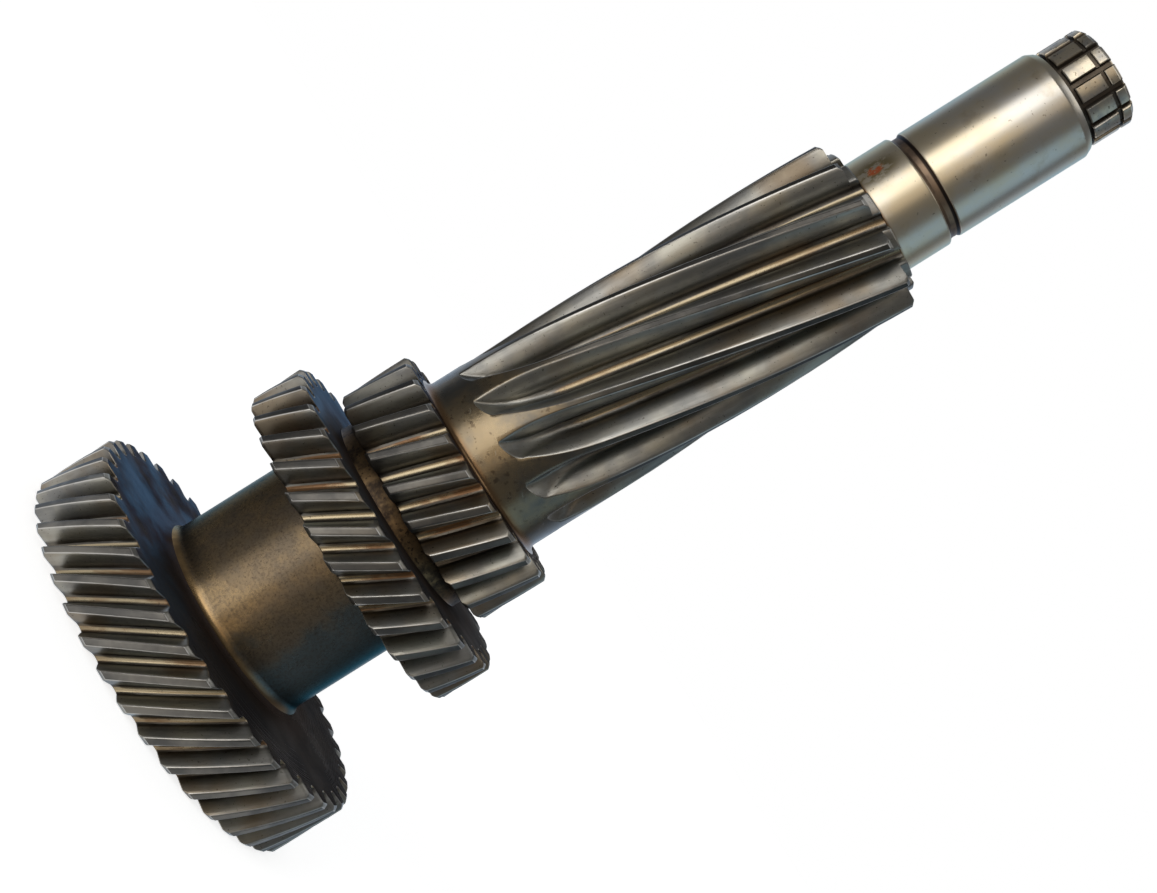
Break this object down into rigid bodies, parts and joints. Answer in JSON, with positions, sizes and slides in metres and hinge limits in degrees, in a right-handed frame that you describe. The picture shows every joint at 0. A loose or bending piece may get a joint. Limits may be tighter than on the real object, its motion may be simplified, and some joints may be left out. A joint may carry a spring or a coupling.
{
  "type": "countershaft",
  "caption": "Solid steel gearbox countershaft: helical gears of stepped sizes, a plain barrel, a long helical pinion, ground bearing journals and a short splined end.",
  "frame": {"origin": "on the shaft's axis, in the rim face of the large gear that the shaft stands on", "axes": "+Z along the shaft's axis from the large gear to the splined end; the large gear's tooth spaces start about 4 degrees past +X, anticlockwise seen from the top"},
  "size_m": [0.1102, 0.1102, 0.2811],
  "materials": {
    "steel": "dark satin steel with ground journals and a light brown oil and rust tint"
  },
  "bodies": {
    "root": {"countershaft": "steel"}
  },
  "joints": []
}
